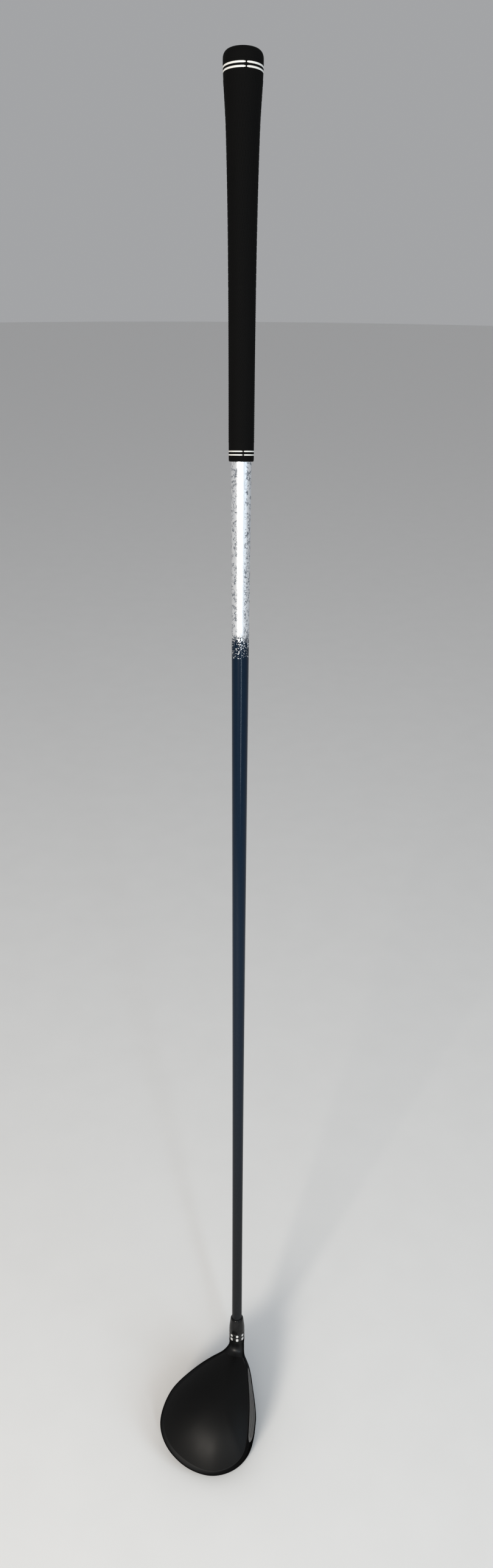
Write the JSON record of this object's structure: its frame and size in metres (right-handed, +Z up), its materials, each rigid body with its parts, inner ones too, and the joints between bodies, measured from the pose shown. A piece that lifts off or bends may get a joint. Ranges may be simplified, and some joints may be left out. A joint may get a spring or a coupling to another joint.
{
  "type": "fairway wood golf club",
  "caption": "Right-handed wood-type golf club with a hollow head, tapered shaft, moulded grip and a bolted adapter with index rings, standing as it leans on a wall.",
  "frame": {"origin": "on the ground under the middle of the club's bounding box, with the club leaning as against a wall", "axes": "+Z up, +X the way the face looks, -Y towards the toe, +Y towards the wall that the butt leans on"},
  "size_m": [0.0882, 0.3018, 1.1023],
  "materials": {
    "grip_rubber": "matt moulded rubber with a fine pattern",
    "grip_lines": "off-white paint in moulded grooves",
    "tape": "paper masking and adhesive tape",
    "shaft_paint": "gloss clear coat over dark blue paint, with silver foil under the grip",
    "neck_plastic": "smooth black",
    "adapter_alloy": "black anodised",
    "index_paint": "white paint fill",
    "crown_paint": "satin black paint over a moulded composite",
    "body_paint": "black coated cast steel",
    "face_steel": "dark satin steel",
    "sole_badge": "smooth dark plate",
    "weight_steel": "turned steel",
    "fastener_steel": "machined steel"
  },
  "bodies": {
    "head": {"head_body": "body_paint", "crown_shell": "crown_paint", "face_plate": "face_steel", "sole_plate": "sole_badge", "bolt_retaining_ring": "fastener_steel"},
    "shaft_assembly": {"adapter_sleeve": "adapter_alloy", "ferrule": "neck_plastic", "shaft": "shaft_paint", "shaft_tip_plug": "neck_plastic", "grip_tape": "tape", "grip_sleeve": "grip_rubber", "grip_end_cap": "grip_rubber"},
    "lower_ring": {"lower_index_ring": "adapter_alloy"},
    "upper_ring": {"upper_index_ring": "adapter_alloy"},
    "bolt_carrier": {"bolt_washer": "fastener_steel"},
    "bolt": {"hosel_bolt": "fastener_steel"},
    "front_weight": {"front_weight": "weight_steel"},
    "front_screw": {"front_weight_screw": "fastener_steel"},
    "rear_weight": {"rear_weight": "weight_steel"},
    "rear_screw": {"rear_weight_screw": "fastener_steel"}
  },
  "joints": [
    {"name": "adapter_pull", "type": "slide", "parent": "head", "child": "shaft_assembly", "axis": [0, 0.1822, 0.9833], "range_m": [0, 0.06]},
    {"name": "lower_ring_turn", "type": "hinge", "parent": "shaft_assembly", "child": "lower_ring", "pos_m": [0.0257, -0.05364, 0.06445], "axis": [0, 0.1822, 0.9833], "continuous": true},
    {"name": "upper_ring_turn", "type": "hinge", "parent": "shaft_assembly", "child": "upper_ring", "pos_m": [0.0257, -0.05289, 0.06848], "axis": [0, 0.1822, 0.9833], "continuous": true},
    {"name": "bolt_back_out", "type": "slide", "parent": "head", "child": "bolt_carrier", "axis": [0, -0.1822, -0.9833], "range_m": [0, 0.0048]},
    {"name": "bolt_turn", "type": "hinge", "parent": "bolt_carrier", "child": "bolt", "pos_m": [0.0257, -0.05838, 0.03888], "axis": [0, -0.1822, -0.9833], "range_deg": [0, 2161]},
    {"name": "front_weight_back_out", "type": "slide", "parent": "head", "child": "front_weight", "axis": [0, 0.3746, -0.9272], "range_m": [0, 0.0049]},
    {"name": "front_screw_turn", "type": "hinge", "parent": "front_weight", "child": "front_screw", "pos_m": [0.0277, -0.10169, 0.00883], "axis": [0, 0.3746, -0.9272], "range_deg": [0, 2521]},
    {"name": "rear_weight_back_out", "type": "slide", "parent": "head", "child": "rear_weight", "axis": [-0.225, 0.365, -0.9034], "range_m": [0, 0.0049]},
    {"name": "rear_screw_turn", "type": "hinge", "parent": "rear_weight", "child": "rear_screw", "pos_m": [-0.0268, -0.10388, 0.00892], "axis": [-0.225, 0.365, -0.9034], "range_deg": [0, 2521]}
  ],
  "couplings": [
    {"joint": "bolt_turn", "follows": "bolt_back_out", "rad_per_m": 7854},
    {"joint": "front_screw_turn", "follows": "front_weight_back_out", "rad_per_m": 8976},
    {"joint": "rear_screw_turn", "follows": "rear_weight_back_out", "rad_per_m": 8976}
  ]
}
